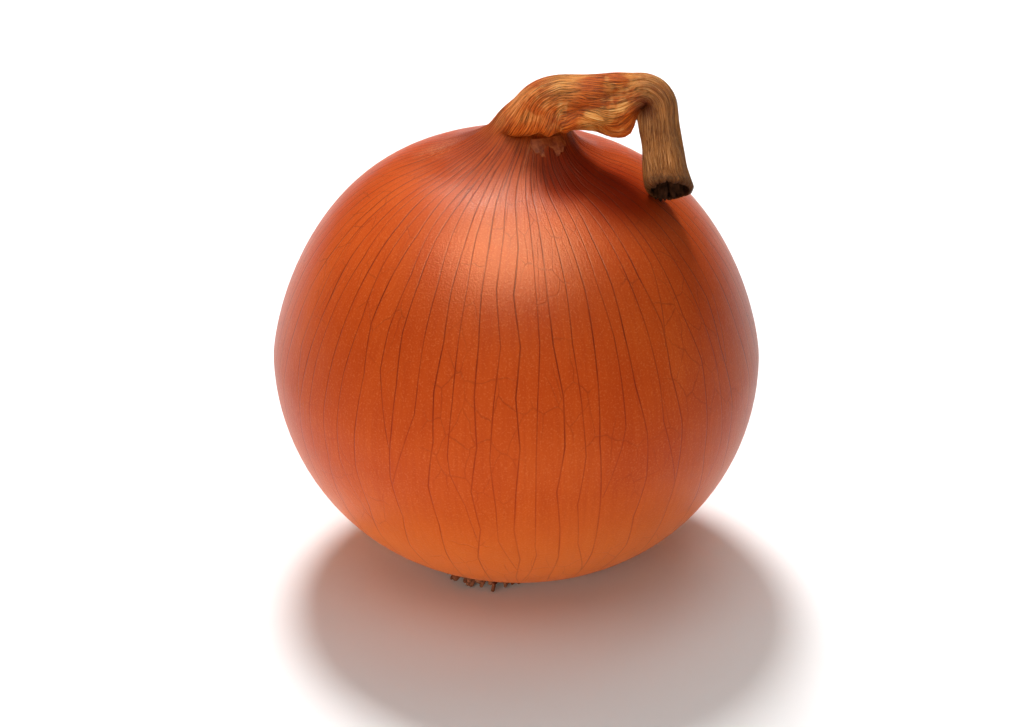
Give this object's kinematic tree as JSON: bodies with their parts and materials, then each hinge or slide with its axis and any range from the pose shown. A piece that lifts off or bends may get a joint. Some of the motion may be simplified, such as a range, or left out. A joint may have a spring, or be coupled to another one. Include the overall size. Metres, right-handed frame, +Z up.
{
  "type": "brown onion",
  "caption": "Brown onion with a squat round bulb, thin dry skin, a withered neck kinked over to the right, and dry roots on a flat root plate.",
  "frame": {"origin": "centre of the flat underside of the root plate, where the onion stands", "axes": "+Z up along the onion's axis, +X towards the side the neck is kinked over to, -Y towards the side the mouth of the neck faces"},
  "size_m": [0.08, 0.08, 0.0864],
  "materials": {
    "skin": "thin dry papery onion skin, satin, with lengthwise veins",
    "dried_leaf": "shrivelled dark brown leaf ends, matt",
    "torn_skin": "pale torn papery skin, matt",
    "root_plate": "corky dry root plate, matt",
    "roots": "dry wiry roots, matt"
  },
  "bodies": {
    "root": {"bulb": "skin", "inner_leaves": "dried_leaf", "torn_skin": "torn_skin", "root_plate": "root_plate", "root_01": "roots", "root_02": "roots", "root_03": "roots", "root_04": "roots", "root_05": "roots", "root_06": "roots", "root_07": "roots", "root_08": "roots", "root_09": "roots", "root_10": "roots", "root_11": "roots", "root_12": "roots", "root_13": "roots", "root_14": "roots", "root_15": "roots", "root_16": "roots", "root_17": "roots", "root_18": "roots", "root_19": "roots", "root_20": "roots"}
  },
  "joints": []
}
